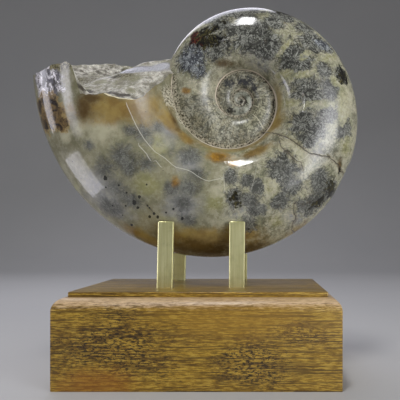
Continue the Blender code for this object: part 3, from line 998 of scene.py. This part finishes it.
# %% Cracks with stained sides, pale healed ones, scratches and specks
def cracks_and_specks(at, colour):
    """Gives the colour and the mask of the open cracks."""
    dark = fine_line(at.place, "dark_line", 0.55, 2.4)
    pale = fine_line(at.place, "pale_line", 0.42, 0.8)["Mask"]
    scratch = fine_line(at.place, "scratch", 0.5, 0.5)["Mask"]
    nearest = -1
    for x, z, size in SPECKS:
        nearest = larger(nearest, spot(at.place, x, z, 1.2 * size, 1.2 * size))
    _, depth, _ = axes(at.place)
    speck = fade(at.fine * 2.6 + nearest, 0, 0.15) * fall(depth, 0.004, 0.006)
    colour = coats(
        colour,
        (dark["Around"] * 0.30, (104, 84, 46)),
        (dark["Mask"] * 0.9, (36, 30, 20)),
        (pale * 0.55, (198, 196, 180)),
        (scratch * 0.42, (214, 212, 200)),
        (speck * 0.92, (22, 22, 18)),
    )
    return colour, dark["Mask"]


# %% The finish of the polished shell
def polished_calcite():
    material, shader, place = new_material("polished calcite", roughness=0.08)
    at = on_the_coil(place)
    density, walls, light = rosettes(at)
    blue = mix(light, (12, 16, 34), (158, 163, 164))
    colour = mix(at.inner, outer_turn(at, density, walls, light, blue), inner_turns(at, blue))
    colour, band, groove = beside_seams(at, colour)
    colour, crack = cracks_and_specks(at, tip(at, colour))
    marks = use_group(RUBBED, Place=place, Scale=30, Glossy=0.04, Dull=0.13)
    rough = marks["Roughness"] + at.inner * 0.16 + crack * 0.4
    stippled = larger(at.inner, band) * at.stipple
    height = stippled * 2 - at.moss["Hairs"] * 0.12 - crack * 3 - groove * 3
    plug_finish(shader, colour, rough, height, 0.3, 0.0003)
    return material


# %% [markdown]
# ## Broken calcite
#
# Where the shell broke it was never polished, so the break is a dull, sugary, grey-cream surface
# with olive staining, grains that catch the light and darker pits, and painted shade in thin slivers under
# its front edge. Its front edge is a thin cream line, the shell itself. At the back a smooth pale sheet of
# the inner shell is left.


# %% The finish of the break
def broken_calcite():
    material, shader, place = new_material("broken calcite", roughness=0.7)
    coarse = noise(place, 190, 5, 0.72)
    grain = noise(place, 760, 3, 0.75)
    clouds = noise(place, 46, 5, 0.62)
    sheet = stain(place, "sheet", 60, 1.2, 0.3)
    from_edge = field(place, "share")
    east, depth, _ = axes(place)
    pits = ridge(from_edge, 0.03, 0.06, 0.12, 0.26) * fall(coarse, 0.40, 0.56)
    rim = fall(from_edge, 0.03, 0.06, 0.95) * fall(depth, -0.005, 0) * fade(east, -0.090, -0.084)
    colour = coats(
        mix(fade(coarse, 0.36, 0.64), (128, 123, 105), (218, 214, 201)),
        (fade(grain, 0.50, 0.60, 0, 0.75), (72, 66, 48)),
        (fade(clouds, 0.50, 0.64, 0, 0.8), (124, 122, 88)),
        (stain(place, "hump", 110), mix(fade(grain, 0.42, 0.60), (76, 72, 50), (134, 128, 100))),
        (sheet, (138, 138, 142)),
        # Painted shade under the front edge.
        (stain(place, "overhang_shade", 160, 2, 0.35, 0.95), (50, 42, 28)),
        (pits * 0.75, (58, 50, 34)),
        (rim, (224, 214, 172)),
    )
    rough = fade(grain, 0.3, 0.7, 0.75, 0.45) - sheet * 0.3
    lumps = (coarse * 4 + grain * 1.4) * (1 - sheet * 0.85)
    plug_finish(shader, colour, rough, lumps, 0.7, 0.0009)
    return material


# %% Make the ammonite
shell_finish, break_finish = polished_calcite(), broken_calcite()
points = np.clip(points, *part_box("ammonite"))
faces = whorl_faces.tolist() + break_faces.tolist() + hub_faces.tolist()
ammonite = make_piece("ammonite_shell", points, faces, [shell_finish, break_finish], "ammonite")
mesh = ammonite.data
slots = np.zeros(len(faces), np.int32)
slots[len(whorl_faces) : len(whorl_faces) + len(break_faces)] = 1
mesh.polygons.foreach_set("material_index", slots)
uv = [whorl_uv.reshape(-1, 2)]
for group in (break_faces, hub_faces):
    uv.append(np.stack([point_turns[group], point_angles[group] / TURN], axis=-1).reshape(-1, 2))
mesh.uv_layers.new(name="coil").data.foreach_set("uv", np.vstack(uv).astype(np.float32).ravel())
for kind, key, layers in (("FLOAT", "value", fields), ("FLOAT_VECTOR", "vector", vectors)):
    for name, values in layers.items():
        attribute = mesh.attributes.new(name, kind, "POINT")
        attribute.data.foreach_set(key, values.astype(np.float32).ravel())
shape = bmesh.new()
shape.from_mesh(mesh)
bmesh.ops.recalc_face_normals(shape, faces=shape.faces)
shape.to_mesh(mesh)
shape.free()
mesh.set_sharp_from_angle(angle=math.radians(38))
print("ammonite:", sum(len(f.vertices) - 2 for f in mesh.polygons), "triangles")

# %% [markdown]
# ## The plinth
#
# One block of wood. Its upper edge was run past a router, which left a small step above a quarter
# round. The surface is that profile carried round a rectangle with slightly rounded corners, and
# the arrises are eased by sanding.

# %% The plinth's surface
PLINTH = np.array([204.4, 139.6, 68.8]) * MM
EDGE_STEP, EDGE_ROUND, EASED, CORNER = 3.6 * MM, 9.2 * MM, 0.7 * MM, 1 * MM


def arc(centre, radius, start, end, count):
    """Points on a circle's arc, at even angles in degrees."""
    turn = np.radians(np.linspace(start, end, count))
    return np.stack([centre[0] + radius * np.cos(turn), centre[1] + radius * np.sin(turn)], axis=1)


def plinth_profile():
    """(inset, height) from the underside up the side and the routed edge to the top."""
    eased, top, round_top = EASED, PLINTH[2], PLINTH[2] - EDGE_STEP
    return np.vstack([
        [[8 * MM, 0]],
        arc((eased, eased), eased, 270, 180, 5),
        np.stack([np.zeros(8), np.linspace(4 * MM, round_top - EDGE_ROUND - 1 * MM, 8)], axis=1),
        arc((EDGE_ROUND, round_top - EDGE_ROUND), EDGE_ROUND, 180, 92, 12),
        arc((EDGE_ROUND + 0.1 * MM, round_top + 0.2 * MM), 0.15 * MM, 260, 190, 3),
        arc((EDGE_ROUND + 0.05 * MM + eased, top - eased), eased, 180, 90, 5),
        [[EDGE_ROUND + 8 * MM, top]],
    ])


def rounded_rectangle(half_x, half_y, radius, count):
    """The walk round a rectangle with round corners, count points on each corner."""
    corners = []
    for quarter, (sx, sy) in enumerate(((1, 1), (-1, 1), (-1, -1), (1, -1))):
        middle = (sx * (half_x - radius), sy * (half_y - radius))
        corners.append(arc(middle, radius, 90 * quarter, 90 * quarter + 90, count))
    return np.vstack(corners)


outline = rounded_rectangle(PLINTH[0] / 2, PLINTH[1] / 2, CORNER, 5)
profile = plinth_profile()
block = np.empty((len(profile), len(outline), 3))
block[..., :2] = outline[None] - np.sign(outline)[None] * profile[:, None, :1]
block[..., 2] = profile[:, None, 1]
print("plinth:", block.shape[:2], "points")

# %% [markdown]
# ## Varnished wood
#
# The grain runs along the plinth. Broad bands of lighter and darker wood carry short flecks and fine dark
# lines, stretched along X, and dark pores that gather in clouds. A low patch is stained orange, and a pale
# band along the upper quarter round is a painted highlight. The end grain cuts the same lines across. A
# thin satin varnish lies on top.


# %% The finish of the wood
def varnished_wood():
    material, shader, place = new_material("varnished wood", roughness=0.35)
    shader["Coat Weight"].default_value = 0.45
    shader["Coat Roughness"].default_value = 0.38
    shader["Specular IOR Level"].default_value = 0.3
    bands = noise(scaled(place, 7, 70, 70), 1, 4, 0.6)
    flecks = noise(scaled(place, 170, 1150, 1150), 1, 3, 0.7)
    lines = noise(scaled(place, 20, 1000, 1000), 1, 3, 0.6)
    pores = noise(scaled(place, 340, 900, 900), 1, 3, 0.75)
    drift = noise(scaled(place, 22, 40, 40), 1, 4, 0.7)

    cloud = larger(larger(spot(place, -58, 30, 52, 26), spot(place, 42, 22, 26, 18)),
                   spot(place, 72, 40, 22, 10))
    cloud = fade(drift * 2.4 + cloud, 0.7, 2)
    pore_mask = fade(pores, 0.51, 0.55) * cloud
    _, _, height = axes(place)
    # A painted highlight: a pale band along the upper part of the quarter round, its edges frayed by the
    # flecks.
    quarter_round_highlight = fade((flecks - 0.5) * 0.012 + height, 0.0570, 0.0625) * fall(height, 0.0648, 0.0655)
    orange = frayed(spot(place, -70, 4, 26, 11), place, 70, 1.6, 0.6)
    golden = frayed(spot(place, 30, 50, 50, 14), place, 50, 1.6, 0.8)
    colour = coats(
        mix(fade(bands, 0.3, 0.7), (128, 96, 20), (158, 124, 34)),
        (fade(flecks, 0.50, 0.57, 0, 0.6), (194, 162, 68)),
        (fall(flecks, 0.38, 0.48) * (cloud * 0.55 + 0.45), (42, 27, 4)),
        (fade(lines, 0.50, 0.57, 0, 0.72), (66, 44, 8)),
        (pore_mask * 0.92, (24, 14, 2)),
        # The painted highlight on the quarter round.
        (quarter_round_highlight * fade(flecks, 0.38, 0.58, 0.42, 0.8), (208, 180, 146)),
        (orange * 0.5, (150, 92, 18)),
        (golden * 0.45, (150, 112, 38)),
    )
    marks = use_group(RUBBED, Place=scaled(place, 0.4, 1, 1), Scale=60, Glossy=0.28, Dull=0.44)
    plug_finish(shader, colour, marks["Roughness"], flecks * 0.8 - pore_mask, 0.35, 0.0003)
    return material


block_faces = grid_faces(*block.shape[:2], closed=True)
make_piece("plinth_block", block.reshape(-1, 3), block_faces, [varnished_wood()], "plinth", 30)

# %% [markdown]
# ## The uprights
#
# Four lengths of flat brass bar, brushed lengthwise, with their edges chamfered.
# Each leans a little, as the photograph shows, and its foot runs down into the wood.

# %% Bars of rectangular section with chamfered edges
BAR = np.array([12, 5, 51.2]) * MM
BAR_DEEP, CHAMFER, BAR_ROWS = 12 * MM, 0.6 * MM, 14
BAR_FEET = {"left": (-29.5 * MM, math.radians(1.2)), "right": (26.2 * MM, math.radians(0.5))}


def bar_points(foot_x, foot_y, lean):
    """A chamfered rectangle carried up from inside the wood, pulled in at the top, then leaned."""
    x, y, a = BAR[0] / 2, BAR[1] / 2, CHAMFER
    ring = np.array([(x - a, -y), (x, a - y), (x, y - a), (x - a, y),
                     (a - x, y), (-x, y - a), (-x, a - y), (a - x, -y)])
    heights = np.array([-BAR_DEEP, *np.linspace(0, BAR[2] - a, BAR_ROWS - 2), BAR[2]])
    upright = np.empty((BAR_ROWS, len(ring), 3))
    upright[..., :2] = ring
    upright[-1, :, :2] -= np.sign(ring) * a
    upright[..., 2] = heights[:, None]
    leaned = upright.copy()
    leaned[..., 0] = upright[..., 0] * math.cos(lean) + upright[..., 2] * math.sin(lean)
    leaned[..., 2] = upright[..., 2] * math.cos(lean) - upright[..., 0] * math.sin(lean)
    return leaned.reshape(-1, 3) + (foot_x, foot_y, PLINTH[2])


# %% The finish of the brass
def brushed_brass():
    material, shader, place = new_material("brushed brass", metallic=1, roughness=0.3)
    brushing = noise(scaled(place, 1300, 1300, 30), 1, 3, 0.6)
    tarnish = noise(place, 70, 4, 0.65)
    colour = mix(fade(brushing, 0.3, 0.7), (238, 234, 168), (248, 244, 190))
    colour = mix(fade(tarnish, 0.45, 0.75, 0, 0.5), colour, (196, 192, 122))
    plug_finish(shader, colour, fade(brushing, 0.3, 0.7, 0.30, 0.42), brushing, 0.3, 0.0001)
    return material


brass = brushed_brass()
for end in ("front", "back"):
    for hand, (foot_x, lean) in BAR_FEET.items():
        node = "prong_" + end + "_" + hand
        low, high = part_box(node)
        bar = bar_points(foot_x, (low[1] + high[1]) / 2, lean)
        bar_faces = grid_faces(BAR_ROWS, len(bar) // BAR_ROWS, closed=True)
        make_piece("bar_" + end + "_" + hand, bar, bar_faces, [brass], node, 30)

# %% [markdown]
# ## The studio
#
# A plain pale floor that curves up into a backdrop, a dim even surround, and soft lights. Three at the
# right draw the broad bright band on the flank. A narrow one, a low one and one at the side draw the pale
# shapes at the left. One above and behind draws the bright rim along the top, one high in front is the
# bright window near the top of the coil, and a lamp gives a small glint.


# %% The floor
def floor_grid():
    """A flat floor that turns up in a quarter circle and runs on as a wall, carried along X."""
    bend = arc((1.2, 0.7), 0.7, -90, 0, 16)
    run = np.vstack([[[-6, 0]], bend, [[1.9, 5]]])
    grid = np.empty((len(run), 3, 3))
    grid[..., 0] = np.linspace(-6, 6, 3)
    grid[..., 1:] = run[:, None, :]
    return grid


grid = floor_grid()
floor_finish, shader, place = new_material("pale floor", roughness=0.6)
plug(shader["Base Color"], mix(noise(place, 4), (180, 180, 180), (188, 187, 185)))
make_object("studio_floor", grid.reshape(-1, 3), grid_faces(*grid.shape[:2]), [floor_finish])

world = bpy.data.worlds.new("surround")
world.use_nodes = True
surround = world.node_tree.nodes["Background"].inputs
surround["Color"].default_value = (0.20, 0.20, 0.21, 1)
surround["Strength"].default_value = 1
bpy.context.scene.world = world

# %% The lights: side, rise, distance, width, height, brightness, colour, spread
WHITE, COOL = (1, 1, 1), (0.94, 0.95, 1)
LIGHTS = {
    "right, wide": (48, 6, 0.95, 66, 66, 2.8, COOL, 80),
    "right, core": (48, 8, 0.9, 34, 46, 6.6, COOL, 50),
    "right, low": (40, -12, 0.6, 16, 12, 4, COOL, 50),
    "left, narrow": (-63, 4, 0.95, 11, 28, 8.5, (0.90, 0.89, 1), 34),
    "left, low": (-84, -23, 0.36, 26, 18, 4.6, (0.91, 0.90, 1), 76),
    "left, side": (-95, 10, 0.95, 13, 30, 3.4, (0.92, 0.91, 1), 180),
    "window": (-11, 68, 1.1, 7.4, 20, 31, WHITE, 180),
    "lamp": (-12, 24, 1.4, 1.3, 1, 40, WHITE, 180),
    "behind, above": (-160, 52, 1.3, 38, 40, 2.6, (0.87, 0.87, 1), 180),
}
LIT_PLACE = (0, 0, 0.19)


def soft_light(name, side, rise, distance, wide, high, brightness, colour, spread):
    """A rectangle seen from the fossil at this many degrees to the right of the camera and above
    level, with its width and height in degrees. Its power is pi times its brightness and area. A
    spread under 180 degrees makes it fade towards its edges, and raises its middle by
    tan(h) / (tan(h) - h), with h half the spread, so the power is divided by that."""
    turn, up = math.radians(side), math.radians(rise)
    way = np.array([math.sin(turn) * math.cos(up), -math.cos(turn) * math.cos(up), math.sin(up)])
    data = bpy.data.lights.new(name, "AREA")
    data.shape = "RECTANGLE"
    data.size = 2 * distance * math.tan(math.radians(wide / 2))
    data.size_y = 2 * distance * math.tan(math.radians(high / 2))
    data.energy = math.pi * brightness * data.size * data.size_y
    data.color = colour
    if spread < 180:
        half = math.radians(spread / 2)
        data.spread = 2 * half
        data.energy *= (math.tan(half) - half) / math.tan(half)
    light = bpy.data.objects.new(name, data)
    light.location = LIT_PLACE + distance * way
    light.rotation_euler = (math.pi / 2 - up, 0, turn)
    bpy.context.scene.collection.objects.link(light)


for name, settings in LIGHTS.items():
    soft_light(name, *settings)
print("lights:", ", ".join(LIGHTS))
